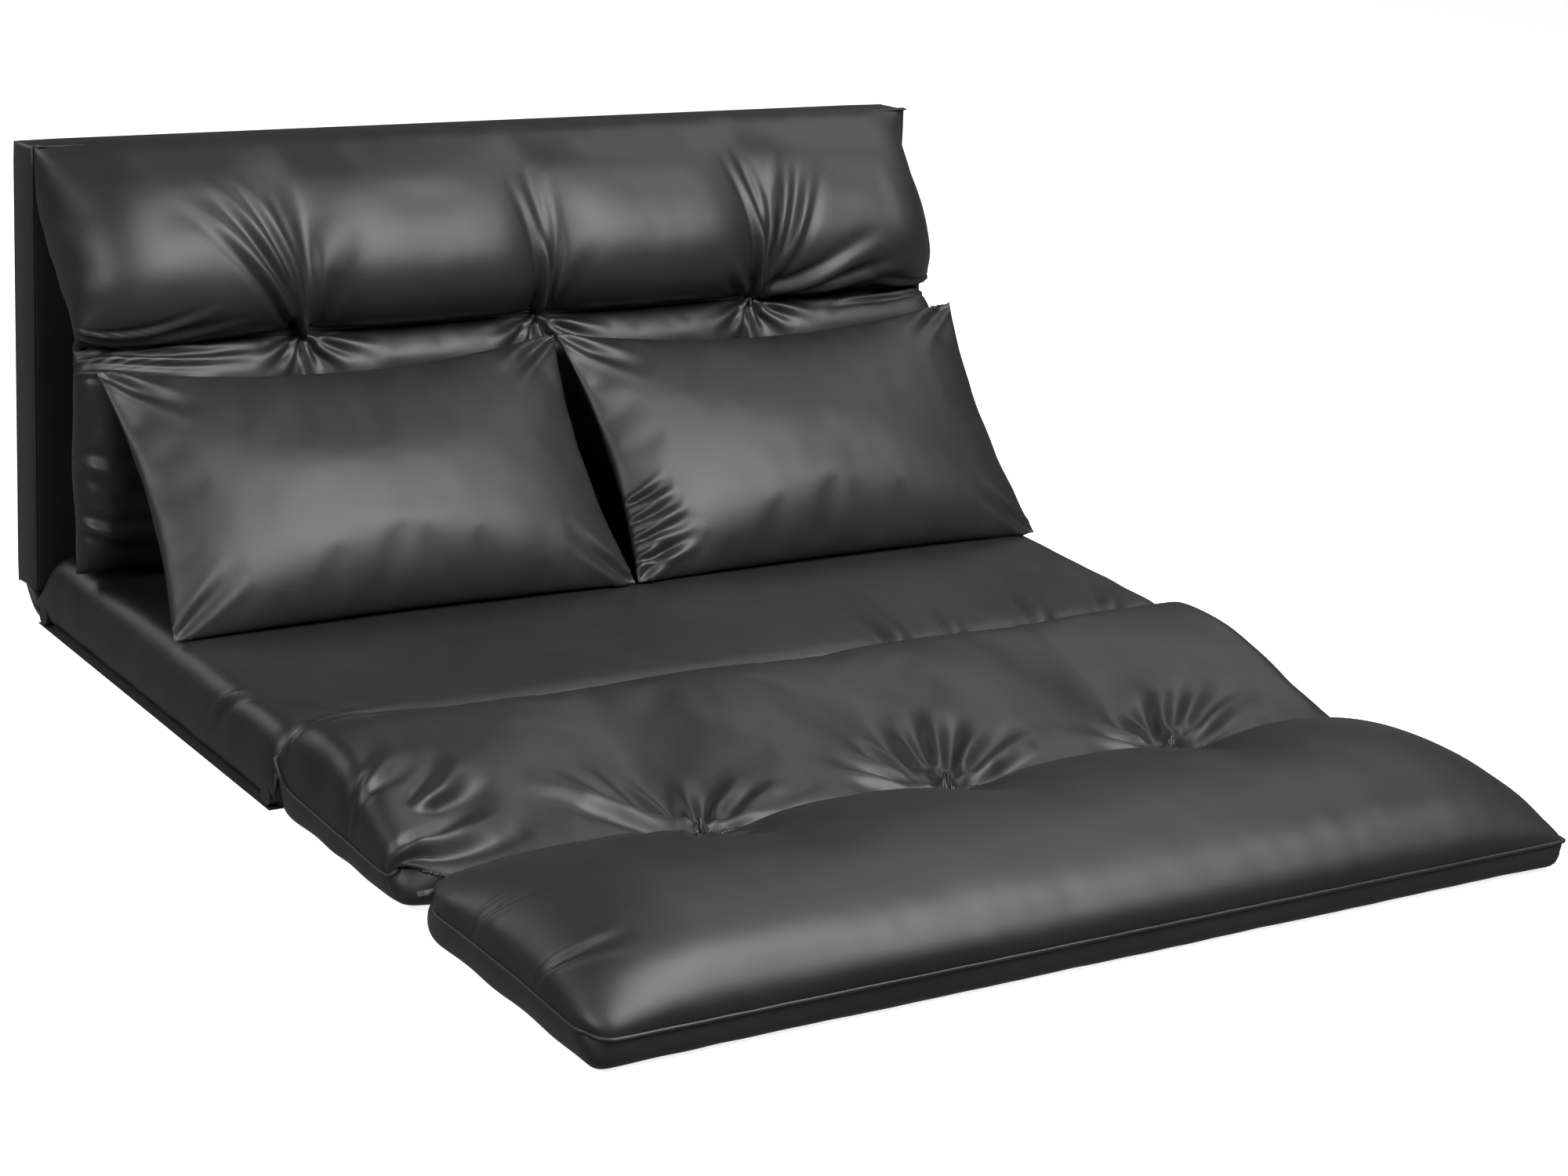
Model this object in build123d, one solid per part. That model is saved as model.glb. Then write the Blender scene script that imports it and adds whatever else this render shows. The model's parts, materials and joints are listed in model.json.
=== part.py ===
from build123d import *
from math import asin, cos, degrees, radians
import os

# Two-seat folding floor sofa. X runs across the seats, +Y to the back, +Z up, in millimetres.
# The origin is on the floor, under the middle of the seat cushion.

# Overall sizes
WIDTH = 1100.0
SEAT_DEPTH = 545.0
SEAT_HEIGHT = 78.0
SEAT_ROUND = 12.0
BACK_HEIGHT = 468.0
BACK_THICKNESS = 42.0
BACK_ROUND = 4.0
BACK_LEAN = 5.0

# Padded foot, in two sections that follow the seat to the front
FOOT_INNER_LENGTH = 275.0
FOOT_INNER_HEIGHT = 92.0
FOOT_END_LENGTH = 309.0
FOOT_END_HEIGHT = 102.0
FOOT_SEAM_HEIGHT = 50.0
FOOT_LIP_HEIGHT = 38.0

# Back pad, in two sections that hang from the top edge of the back
HEAD_DROP = 184.0
HEAD_REACH = 110.0
HEAD_THICKNESS = 74.0
LUMBAR_THICKNESS = 52.0
SECTION_ROUND = 5.0

# Loose pillows
PILLOW_LENGTH = 526.0
PILLOW_HEIGHT = 296.0
PILLOW_THICKNESS = 92.0
PILLOW_EDGE = 6.0
PILLOW_GAP = 12.0
PILLOW_TOP_DROP = 18.0
PILLOW_AHEAD = 32.0

# Sheet goods
COVER = 1.2
BASE_CLOTH = 1.0
BACK_FOAM = 9.0
STRAP_THICKNESS = 1.5
STRAP_WIDTH = 50.0
STRAP_COUNT = 4

# Steel
TUBE = 19.0
TUBE_WALL = 1.2
CROSS_BARS = 4
PLUG_FLANGE = 1.5
PLUG_LENGTH = 12.0
PLATE = 3.0
PLATE_WIDTH = 22.0
PIVOT_RADIUS = 4.0
PIVOT_HEAD_RADIUS = 7.0
PIVOT_HEAD = 2.0
HINGE_INSET = 70.0
RATCHET_NOTCHES = 5
RATCHET_STEP = 21.0
NOTCH_RADIUS = 1.2
LEAF = 1.0
LEAF_LENGTH = 10.0

# Tufts
TUFT_COUNT = 3
TUFT_PITCH = 282.0
HEAD_TUFT_SHIFT = -10.0
FOOT_TUFT_SHIFT = 34.0
TIE_RADIUS = 1.5
TIE_FROM_SEAM = 24.0

# Clearances
SECTION_GAP = 3.0
SWEEP_GAP = 3.0
PAD_GAP = 4.0
REST_GAP = 2.0
INSIDE_GAP = 0.5
PLATE_GAP = 0.4
PIVOT_GAP = 0.05
SLOT_GAP = 1.5
PANEL_LIFT = 7.0

# Places that follow from the sizes
SEAT_BACK = SEAT_DEPTH / 2
SEAT_FRONT = -SEAT_DEPTH / 2
HINGE_BEHIND = BACK_THICKNESS * 0.6
HINGE_AHEAD = BACK_THICKNESS - HINGE_BEHIND
HINGE_Y = SEAT_BACK + SWEEP_GAP + (HINGE_AHEAD**2 + PANEL_LIFT**2) ** 0.5
HINGE_Z = HINGE_BEHIND
HINGE_X = WIDTH / 2 - HINGE_INSET
PANEL_FRONT = HINGE_Y - HINGE_AHEAD
PANEL_REAR = HINGE_Y + HINGE_BEHIND
PANEL_BOTTOM = HINGE_Z + PANEL_LIFT
PANEL_TOP = PANEL_BOTTOM + BACK_HEIGHT
LEAN = Pos(0, HINGE_Y, HINGE_Z) * Rot(-BACK_LEAN, 0, 0) * Pos(0, -HINGE_Y, -HINGE_Z)

FLIP = (LEAN * Pos(0, PANEL_FRONT - PAD_GAP / 2, PANEL_TOP + PAD_GAP / 2)).position
CREASE_Y = FLIP.Y - HEAD_REACH
CREASE_Z = FLIP.Z - HEAD_DROP
FOOT_INNER_Y = SEAT_FRONT - SECTION_GAP
FOOT_END_Y = FOOT_INNER_Y - FOOT_INNER_LENGTH - SECTION_GAP

FRAME_Z = BASE_CLOTH + INSIDE_GAP + TUBE / 2
FRAME_Y = SEAT_BACK - COVER - INSIDE_GAP - TUBE / 2
FRAME_X = WIDTH / 2 - COVER - PLUG_FLANGE - INSIDE_GAP
BACK_STRAP_Y = PANEL_FRONT + COVER + BACK_FOAM + INSIDE_GAP
BACK_TUBE_Y = BACK_STRAP_Y + STRAP_THICKNESS + TUBE / 2
BACK_TUBE_LOW = HINGE_Z + PLATE_WIDTH / 2 + SLOT_GAP + TUBE / 2
BACK_TUBE_HIGH = PANEL_TOP - COVER - BACK_ROUND - TUBE / 2

PILLOW_LOW = SEAT_HEIGHT + REST_GAP + PILLOW_EDGE / 2
PILLOW_RISE = CREASE_Z - PILLOW_TOP_DROP - PILLOW_LOW
PILLOW_SLOPE = degrees(asin(PILLOW_RISE / PILLOW_HEIGHT))
PILLOW_Y = CREASE_Y - PILLOW_AHEAD - PILLOW_HEIGHT / 2 * cos(radians(PILLOW_SLOPE))
PILLOW_Z = PILLOW_LOW + PILLOW_RISE / 2
SIDES = {"left": -1, "right": 1}


def save(shape, node):
    shape.label = node
    export_step(shape, f"parts/{node}.step")


def block(x, y, z):
    """A box from its lowest and highest value along each axis."""
    middle = [(low + high) / 2 for low, high in (x, y, z)]
    return Pos(*middle) * Box(*[high - low for low, high in (x, y, z)])


def outline(points):
    """A flat face in Y and Z with its corners rounded."""
    face = make_face(Polyline(*points, close=True))
    return fillet(face.vertices(), SECTION_ROUND)


def stuffed(face, width):
    """The cover and the filling of a cushion of constant section."""
    solid = extrude(Plane.YZ * face, amount=width / 2, both=True)
    filling = extrude(Plane.YZ * offset(face, -COVER), amount=width / 2 - COVER, both=True)
    return solid - filling, filling


def bar(start, end, radius):
    """A round bar between two points."""
    run = Vector(*end) - Vector(*start)
    return extrude(Plane(origin=start, z_dir=run) * Circle(radius), amount=run.length)


def tube(start, end):
    """A round tube between two points."""
    return bar(start, end, TUBE / 2) - bar(start, end, TUBE / 2 - TUBE_WALL)


def spread(count, low, high):
    """Evenly spaced places from low to high."""
    return [low + (high - low) * i / (count - 1) for i in range(count)]


def group(shapes):
    """Separate solids that share one node."""
    return Compound([solid for shape in shapes for solid in shape.solids()])


def ladder(rail_places):
    """Two rails along X with cross bars coped to them, and the plugs in the rails' ends."""
    rails = [tube((-FRAME_X, y, z), (FRAME_X, y, z)) for y, z in rail_places]
    solid_rails = [bar((-FRAME_X, y, z), (FRAME_X, y, z), TUBE / 2) for y, z in rail_places]
    (y0, z0), (y1, z1) = rail_places
    reach = FRAME_X - TUBE
    crosses = []
    for x in spread(CROSS_BARS, -reach, reach):
        crosses.append(tube((x, y0, z0), (x, y1, z1)) - solid_rails[0] - solid_rails[1])
    plugs = []
    for y, z in rail_places:
        for side in SIDES.values():
            end = (side * FRAME_X, y, z)
            flange = bar(end, (side * (FRAME_X + PLUG_FLANGE), y, z), TUBE / 2)
            stem = bar((side * (FRAME_X - PLUG_LENGTH), y, z), end, TUBE / 2 - TUBE_WALL)
            plugs.append(flange + stem)
    return group(rails + crosses), group(plugs)


# Seat


def seat_shell():
    """The outside of the seat and the room inside its cover."""
    outside = block((-WIDTH / 2, WIDTH / 2), (SEAT_FRONT, SEAT_BACK), (0, SEAT_HEIGHT))
    outside = fillet(outside.faces().sort_by(Axis.Z)[-1].edges(), SEAT_ROUND)
    half = WIDTH / 2 - COVER
    inside = block((-half, half), (SEAT_FRONT + COVER, SEAT_BACK - COVER), (0, SEAT_HEIGHT - COVER))
    inside = fillet(inside.faces().sort_by(Axis.Z)[-1].edges(), SEAT_ROUND - COVER)
    return outside, inside


def seat_cover():
    outside, inside = seat_shell()
    cover = outside - inside
    for side in SIDES.values():
        x = sorted([side * (HINGE_X - SLOT_GAP), side * (HINGE_X + PLATE + SLOT_GAP)])
        slot_top = HINGE_Z + PLATE_WIDTH / 2 + SLOT_GAP
        cover -= block(x, (SEAT_BACK - 2 * COVER, SEAT_BACK + COVER), (BASE_CLOTH, slot_top))
    return cover


def seat_base_cloth():
    half = WIDTH / 2 - COVER
    return block((-half, half), (SEAT_FRONT + COVER, SEAT_BACK - COVER), (0, BASE_CLOTH))


def seat_frame():
    return ladder([(-FRAME_Y, FRAME_Z), (FRAME_Y, FRAME_Z)])


def seat_webbing():
    low = FRAME_Z + TUBE / 2
    reach = FRAME_Y - TUBE - STRAP_WIDTH / 2
    straps = []
    for y in spread(STRAP_COUNT, -reach, reach):
        across = (y - STRAP_WIDTH / 2, y + STRAP_WIDTH / 2)
        straps.append(block((-FRAME_X, FRAME_X), across, (low, low + STRAP_THICKNESS)))
    return group(straps)


def seat_foam():
    _, inside = seat_shell()
    low = FRAME_Z + TUBE / 2 + STRAP_THICKNESS
    foam = inside & block((-WIDTH, WIDTH), (-SEAT_DEPTH, SEAT_DEPTH), (low, SEAT_HEIGHT))
    for side in SIDES.values():
        x = sorted([side * (HINGE_X - SLOT_GAP), side * (HINGE_X + PLATE + SLOT_GAP)])
        foam -= block(x, (FRAME_Y - TUBE / 2, SEAT_BACK), (0, HINGE_Z + PLATE_WIDTH / 2 + SLOT_GAP))
    return foam


# Ratchet hinges


def hinge_blade(side, low_x, tail):
    """A flat steel blade from the pivot to a tail, both ends round."""
    ends = Pos(HINGE_Y, HINGE_Z) * Circle(PLATE_WIDTH / 2) + Pos(*tail) * Circle(PLATE_WIDTH / 2)
    blade = extrude(Plane.YZ * make_hull(ends.edges()), amount=PLATE)
    blade = Pos(low_x, 0, 0) * blade
    return blade if side > 0 else mirror(blade, Plane.YZ)


def pivot_bar(side, low_x, high_x, radius):
    return bar((side * low_x, HINGE_Y, HINGE_Z), (side * high_x, HINGE_Y, HINGE_Z), radius)


def seat_hinge_plate(side):
    blade = hinge_blade(side, HINGE_X, (FRAME_Y, BASE_CLOTH + INSIDE_GAP + PLATE_WIDTH / 2))
    blade -= block((-WIDTH, WIDTH), (0, FRAME_Y), (-SEAT_HEIGHT, SEAT_HEIGHT))
    blade -= bar((-FRAME_X, FRAME_Y, FRAME_Z), (FRAME_X, FRAME_Y, FRAME_Z), TUBE / 2)
    blade -= pivot_bar(side, HINGE_X - PLATE, HINGE_X + 2 * PLATE, PIVOT_RADIUS)
    return blade


def back_hinge_plate(side):
    low_x = HINGE_X + PLATE + PLATE_GAP
    blade = hinge_blade(side, low_x, (BACK_TUBE_Y, BACK_TUBE_LOW))
    blade -= block((-WIDTH, WIDTH), (0, 2 * SEAT_DEPTH), (BACK_TUBE_LOW, PANEL_TOP))
    rail = ((-FRAME_X, BACK_TUBE_Y, BACK_TUBE_LOW), (FRAME_X, BACK_TUBE_Y, BACK_TUBE_LOW))
    blade -= bar(*rail, TUBE / 2)
    blade -= pivot_bar(side, HINGE_X, low_x + 2 * PLATE, PIVOT_RADIUS + PIVOT_GAP)
    for i in range(RATCHET_NOTCHES):
        turn = Pos(0, HINGE_Y, HINGE_Z) * Rot(180 + BACK_LEAN + i * RATCHET_STEP, 0, 0)
        notch = Rot(0, 90, 0) * Cylinder(NOTCH_RADIUS, 3 * PLATE)
        blade -= turn * Pos(side * low_x, PLATE_WIDTH / 2, 0) * notch
    return leaned(blade)


def hinge_rivets():
    rivets = []
    for side in SIDES.values():
        high_x = HINGE_X + 2 * PLATE + 2 * PLATE_GAP
        rivet = pivot_bar(side, HINGE_X, high_x, PIVOT_RADIUS)
        rivet += pivot_bar(side, HINGE_X - PIVOT_HEAD, HINGE_X, PIVOT_HEAD_RADIUS)
        rivet += pivot_bar(side, high_x, high_x + PIVOT_HEAD, PIVOT_HEAD_RADIUS)
        rivets.append(rivet)
    return group(rivets)


def ratchet_springs():
    springs = []
    for side in SIDES.values():
        x = sorted([side * (HINGE_X + PLATE), side * (HINGE_X + 2 * PLATE + PLATE_GAP)])
        high_y = HINGE_Y - PLATE_WIDTH / 2 - INSIDE_GAP
        z = (HINGE_Z - LEAF_LENGTH / 2, HINGE_Z + LEAF_LENGTH / 2)
        springs.append(block(x, (high_y - LEAF, high_y), z))
    return group(springs)


# Back


def leaned(shape):
    """The shape after the upright back has leaned on its hinges."""
    return group([LEAN * solid for solid in shape.solids()])


def back_shell():
    """The outside of the upright back and the room inside its cover."""
    x = (-WIDTH / 2, WIDTH / 2)
    outside = block(x, (PANEL_FRONT, PANEL_REAR), (PANEL_BOTTOM, PANEL_TOP))
    outside = fillet(outside.edges(), BACK_ROUND)
    half = WIDTH / 2 - COVER
    y = (PANEL_FRONT + COVER, PANEL_REAR - COVER)
    inside = block((-half, half), y, (PANEL_BOTTOM + COVER, PANEL_TOP - COVER))
    inside = fillet(inside.edges(), BACK_ROUND - COVER)
    return outside, inside


def back_cover():
    outside, inside = back_shell()
    cover = outside - inside
    low_x = HINGE_X - PIVOT_HEAD - SLOT_GAP
    high_x = HINGE_X + 2 * PLATE + 2 * PLATE_GAP + PIVOT_HEAD + SLOT_GAP
    for side in SIDES.values():
        x = sorted([side * low_x, side * high_x])
        half = PLATE_WIDTH / 2 + SLOT_GAP
        y = (min(HINGE_Y, BACK_TUBE_Y) - half, max(HINGE_Y, BACK_TUBE_Y) + half)
        cover -= block(x, y, (0, HINGE_Z + half))
    return leaned(cover)


def back_frame():
    frame, plugs = ladder([(BACK_TUBE_Y, BACK_TUBE_LOW), (BACK_TUBE_Y, BACK_TUBE_HIGH)])
    return leaned(frame), leaned(plugs)


def back_webbing():
    reach = STRAP_WIDTH / 2 + TUBE
    straps = []
    for z in spread(STRAP_COUNT, BACK_TUBE_LOW + reach, BACK_TUBE_HIGH - reach):
        along = (BACK_STRAP_Y, BACK_STRAP_Y + STRAP_THICKNESS)
        straps.append(block((-FRAME_X, FRAME_X), along, (z - STRAP_WIDTH / 2, z + STRAP_WIDTH / 2)))
    return leaned(group(straps))


def back_foam(low_y, high_y):
    """One foam layer of the back, cut short of the hinge blades at the bottom."""
    _, inside = back_shell()
    low_z = BACK_TUBE_LOW + PLATE_WIDTH / 2
    return leaned(inside & block((-WIDTH, WIDTH), (low_y, high_y), (low_z, PANEL_TOP)))


# Back pad


def tuft_xs(shift):
    """Places across the width where a row of tufts is stitched through."""
    return [shift + (i - (TUFT_COUNT - 1) / 2) * TUFT_PITCH for i in range(TUFT_COUNT)]


def head_section():
    """The roll behind the shoulders, sewn to the top edge of the back."""
    d, t, r = HEAD_DROP, HEAD_THICKNESS, HEAD_REACH
    rear = [(-PAD_GAP, -PAD_GAP), (-0.1 * r, -0.34 * d), (-0.53 * r, -0.72 * d), (-r, -d)]
    bulge = [(-r - 0.38 * t, -0.98 * d), (-r - 0.72 * t, -0.85 * d), (-r - 0.81 * t, -0.61 * d)]
    crown = [(-r - 0.51 * t, -0.34 * d), (-0.94 * r, -0.11 * d), (-0.48 * r, 0), (-0.16 * r, 0)]
    return [(FLIP.Y + y, FLIP.Z + z) for y, z in rear + bulge + crown]


def lumbar_section():
    """The part that hangs below the crease and stops just above the seat."""
    t = LUMBAR_THICKNESS
    d = CREASE_Z - SEAT_HEIGHT - REST_GAP
    rear = [(0.08 * t, -2 * PAD_GAP), (0.1 * t, -0.48 * d), (-0.06 * t, -0.91 * d), (-0.27 * t, -d)]
    front = [(-0.73 * t, -d), (-t, -0.88 * d), (-0.94 * t, -0.6 * d), (-0.73 * t, -0.3 * d)]
    top = [(-0.42 * t, -0.08 * d), (-0.15 * t, -1.5 * PAD_GAP)]
    return [(CREASE_Y + y, CREASE_Z + z) for y, z in rear + front + top]


def head():
    cover, filling = stuffed(outline(head_section()), WIDTH)
    z = CREASE_Z + TIE_FROM_SEAM
    ties = [bar((x, 0, z), (x, SEAT_DEPTH, z), TIE_RADIUS) & filling for x in tuft_xs(HEAD_TUFT_SHIFT)]
    for tie in ties:
        filling -= tie
    return cover, filling, group(ties)


# Foot


def foot_inner_section():
    """A ridge next to the seat that slopes down to the tufted seam."""
    n, h = FOOT_INNER_LENGTH, FOOT_INNER_HEIGHT
    low = 0.16 * h
    rear = [(0, low), (-1, SEAT_HEIGHT - SEAT_ROUND)]
    top = [(-0.14 * n, 0.96 * h), (-0.32 * n, h), (-0.6 * n, 0.85 * h), (-n, FOOT_SEAM_HEIGHT)]
    under = [(-n, low), (-0.92 * n, 0), (-0.08 * n, 0)]
    return [(FOOT_INNER_Y + y, z) for y, z in rear + top + under]


def foot_end_section():
    """A plump cushion whose underside curves up to the front lip."""
    n, h = FOOT_END_LENGTH, FOOT_END_HEIGHT
    rear = [(0, 0.25 * h), (-1, FOOT_SEAM_HEIGHT), (-0.09 * n, 0.82 * h), (-0.28 * n, 0.98 * h)]
    top = [(-0.54 * n, h), (-0.77 * n, 0.9 * h), (-0.945 * n, 0.61 * h), (-n, FOOT_LIP_HEIGHT)]
    under = [(-0.987 * n, 0.68 * FOOT_LIP_HEIGHT), (-0.83 * n, 0), (-0.09 * n, 0)]
    return [(FOOT_END_Y + y, z) for y, z in rear + top + under]


def foot_end():
    cover, filling = stuffed(outline(foot_end_section()), WIDTH)
    y = FOOT_END_Y - TIE_FROM_SEAM
    ties = [bar((x, y, 0), (x, y, FOOT_END_HEIGHT), TIE_RADIUS) & filling for x in tuft_xs(FOOT_TUFT_SHIFT)]
    for tie in ties:
        filling -= tie
    return cover, filling, group(ties)


# Pillows


def lens(span, thickness, edge):
    """A face that is thin at both ends and thick in the middle."""
    s, t, e = span / 2, thickness / 2, edge / 2
    under = ThreePointArc((-s, -e), (0, -t), (s, -e))
    over = ThreePointArc((s, e), (0, t), (-s, e))
    return make_face([under, Line((s, -e), (s, e)), over, Line((-s, e), (-s, -e))])


def pillow_body(shrink):
    """A pillow lying flat, drawn in by shrink all round."""
    length, height = PILLOW_LENGTH - 2 * shrink, PILLOW_HEIGHT - 2 * shrink
    thickness, edge = PILLOW_THICKNESS - 2 * shrink, PILLOW_EDGE - 2 * shrink
    along = extrude(Plane.XZ * lens(length, thickness, edge), amount=height / 2, both=True)
    across = extrude(Plane.YZ * lens(height, thickness, edge), amount=length / 2, both=True)
    return along & across


def pillow(side):
    x = side * (PILLOW_LENGTH + PILLOW_GAP) / 2
    place = Pos(x, PILLOW_Y, PILLOW_Z) * Rot(PILLOW_SLOPE, 0, 0)
    filling = pillow_body(COVER)
    return place * (pillow_body(0) - filling), place * filling


def main():
    os.makedirs("parts", exist_ok=True)
    save(seat_cover(), "seat_cover")
    save(seat_base_cloth(), "seat_base_cloth")
    save(seat_foam(), "seat_foam")
    frame, plugs = seat_frame()
    save(frame, "seat_frame")
    save(plugs, "seat_tube_plugs")
    save(seat_webbing(), "seat_webbing")
    save(hinge_rivets(), "hinge_rivets")
    save(ratchet_springs(), "ratchet_springs")
    save(back_cover(), "back_cover")
    save(back_foam(PANEL_FRONT, PANEL_FRONT + COVER + BACK_FOAM), "back_front_foam")
    save(back_foam(BACK_TUBE_Y + TUBE / 2 + INSIDE_GAP, PANEL_REAR), "back_rear_foam")
    frame, plugs = back_frame()
    save(frame, "back_frame")
    save(plugs, "back_tube_plugs")
    save(back_webbing(), "back_webbing")
    for name, side in SIDES.items():
        save(seat_hinge_plate(side), f"seat_hinge_plate_{name}")
        save(back_hinge_plate(side), f"back_hinge_plate_{name}")
    cover, filling, ties = head()
    save(cover, "head_cover")
    save(filling, "head_filling")
    save(ties, "head_tuft_ties")
    cover, filling = stuffed(outline(lumbar_section()), WIDTH)
    save(cover, "lumbar_cover")
    save(filling, "lumbar_filling")
    cover, filling = stuffed(outline(foot_inner_section()), WIDTH)
    save(cover, "foot_inner_cover")
    save(filling, "foot_inner_filling")
    cover, filling, ties = foot_end()
    save(cover, "foot_end_cover")
    save(filling, "foot_end_filling")
    save(ties, "foot_tuft_ties")
    for name, side in SIDES.items():
        cover, filling = pillow(side)
        save(cover, f"pillow_{name}_cover")
        save(filling, f"pillow_{name}_filling")


if __name__ == "__main__":
    main()
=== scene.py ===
import json
import math

import bmesh
import bpy
import numpy as np
from mathutils import Matrix, Vector, noise


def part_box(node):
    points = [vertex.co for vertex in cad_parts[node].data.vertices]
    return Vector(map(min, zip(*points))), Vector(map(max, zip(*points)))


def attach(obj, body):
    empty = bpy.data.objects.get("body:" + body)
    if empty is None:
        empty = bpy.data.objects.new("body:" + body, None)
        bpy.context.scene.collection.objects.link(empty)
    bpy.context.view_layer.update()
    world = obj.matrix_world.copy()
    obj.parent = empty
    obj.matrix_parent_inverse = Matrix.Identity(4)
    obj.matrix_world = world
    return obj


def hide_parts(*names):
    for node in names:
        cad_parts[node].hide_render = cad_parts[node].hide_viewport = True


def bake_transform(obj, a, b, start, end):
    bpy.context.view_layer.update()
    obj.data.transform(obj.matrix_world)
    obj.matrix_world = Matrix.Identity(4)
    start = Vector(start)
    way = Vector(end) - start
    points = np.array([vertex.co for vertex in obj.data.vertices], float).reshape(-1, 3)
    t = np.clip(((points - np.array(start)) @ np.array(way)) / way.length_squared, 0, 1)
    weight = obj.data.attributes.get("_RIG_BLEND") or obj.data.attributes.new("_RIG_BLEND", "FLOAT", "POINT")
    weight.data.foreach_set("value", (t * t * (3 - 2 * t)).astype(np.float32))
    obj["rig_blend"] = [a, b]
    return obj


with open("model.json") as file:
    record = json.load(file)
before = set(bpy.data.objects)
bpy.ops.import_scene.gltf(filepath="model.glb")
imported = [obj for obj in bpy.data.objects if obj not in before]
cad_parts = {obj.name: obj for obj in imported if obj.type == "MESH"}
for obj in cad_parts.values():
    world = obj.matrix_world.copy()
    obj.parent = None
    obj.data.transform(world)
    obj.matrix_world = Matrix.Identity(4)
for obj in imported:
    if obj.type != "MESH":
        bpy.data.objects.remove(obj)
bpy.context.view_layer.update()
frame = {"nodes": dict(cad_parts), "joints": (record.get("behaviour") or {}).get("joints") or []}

bl_info = {
    "name": "Tufted Floor Sofa",
    "version": (1, 0, 0),
    "blender": (4, 5, 0),
    "location": "View3D > Sidebar > Floor Sofa",
    "description": "Builds the leatherette cushions of a folding floor sofa around its frame",
    "category": "Object",
}

MM = 0.001
JOINT_AT = {joint["name"]: Vector(joint.get("pos_m") or (0, 0, 0)) for joint in frame["joints"]}
SEAT_LOW, SEAT_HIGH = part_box("seat_cover")
FOOT_INNER_LOW, FOOT_INNER_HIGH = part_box("foot_inner_cover")
FOOT_END_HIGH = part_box("foot_end_cover")[1]
HALF_WIDTH = SEAT_HIGH.x
HINGE = JOINT_AT["back_recline"]
FLIP = JOINT_AT["back_pad_flip"]
CREASE = Vector((0, JOINT_AT["lumbar_fold"].y, JOINT_AT["lumbar_fold"].z + 4 * MM))
LEAN_ANGLE = math.radians(5.0)
FLOOR_GAP = 0.3 * MM

# The padded back, measured from its hinge while it stands upright
BACK_HEIGHT = 468 * MM
BACK_THICKNESS = 49 * MM
BACK_MIDDLE = 7.7 * MM
BACK_LIFT = 7 * MM
BACK_REAR = 29 * MM

# The pillows, as they lean on the lumbar pad
PILLOW_SLOPE = math.radians(47.15)
PILLOW_HALF_HEIGHT = 152 * MM
PILLOW_HALF_THICKNESS = 46 * MM
PILLOW_CORNER_REACH = 7 * MM

# Pull of the cloth in the simulation
CLOTH_TENSION = 25
CLOTH_SHEAR = 12
CLOTH_BENDING = 12
SHARE_OF_MOVE = 0.4


def tuft_places(node):
    """Places across the width of the three ties in one row of tufts."""
    low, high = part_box(node)
    return np.linspace(low.x + 1.5 * MM, high.x - 1.5 * MM, 3)


HEAD_TUFTS = tuft_places("head_tuft_ties")
FOOT_TUFTS = tuft_places("foot_tuft_ties")


# Sizes and colours that a user would change


class SofaLeatherProps(bpy.types.PropertyGroup):
    colour: bpy.props.FloatVectorProperty(
        name="Leatherette colour", description="Colour of the coated cloth", subtype="COLOR",
        size=3, min=0, max=1, default=(0.0115, 0.0115, 0.012))
    roughness: bpy.props.FloatProperty(
        name="Roughness", description="Roughness of the coating between its grain",
        default=0.44, min=0, max=1, subtype="FACTOR")
    grain_size: bpy.props.FloatProperty(
        name="Grain size", description="Width of one pebble of the grain",
        default=1.4 * MM, min=0.0002, max=0.01, unit="LENGTH")
    grain_depth: bpy.props.FloatProperty(
        name="Grain depth", description="Depth of the grooves between the pebbles",
        default=0.05 * MM, min=0, max=0.001, unit="LENGTH")
    floor_colour: bpy.props.FloatVectorProperty(
        name="Floor colour", description="Colour of the studio floor", subtype="COLOR",
        size=3, min=0, max=1, default=(0.86, 0.86, 0.86))


class SofaCushionProps(bpy.types.PropertyGroup):
    columns: bpy.props.IntProperty(
        name="Columns", description="Mesh columns across the width of a cushion",
        default=200, min=20, max=400)
    rows: bpy.props.IntProperty(
        name="Rows", description="Mesh rows from seam to seam of a cushion",
        default=52, min=8, max=120)
    crease_depth: bpy.props.FloatProperty(
        name="Crease depth", description="Scale of the creases at the tufts",
        default=1.0, min=0, max=3)
    swell: bpy.props.FloatProperty(
        name="Swell", description="Most that the stuffing may push the skin out",
        default=16 * MM, min=0, max=0.05, unit="LENGTH")
    piping_radius: bpy.props.FloatProperty(
        name="Piping radius", description="Radius of the piping in the seams",
        default=2.2 * MM, min=0.0005, max=0.01, unit="LENGTH")


def leather_props():
    return bpy.context.scene.sofa_leather


def cushion_props():
    return bpy.context.scene.sofa_cushion


# Materials


def new_material(name):
    """A material with its shader, and short ways to add and join nodes."""
    material = bpy.data.materials.new(name)
    material.use_nodes = True
    tree = material.node_tree
    shader = tree.nodes["Principled BSDF"]

    def add(kind, **settings):
        node = tree.nodes.new(kind)
        for key, value in settings.items():
            if hasattr(node, key):
                setattr(node, key, value)
            else:
                node.inputs[key.replace("_", " ")].default_value = value
        return node

    return material, tree, shader, add


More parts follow.
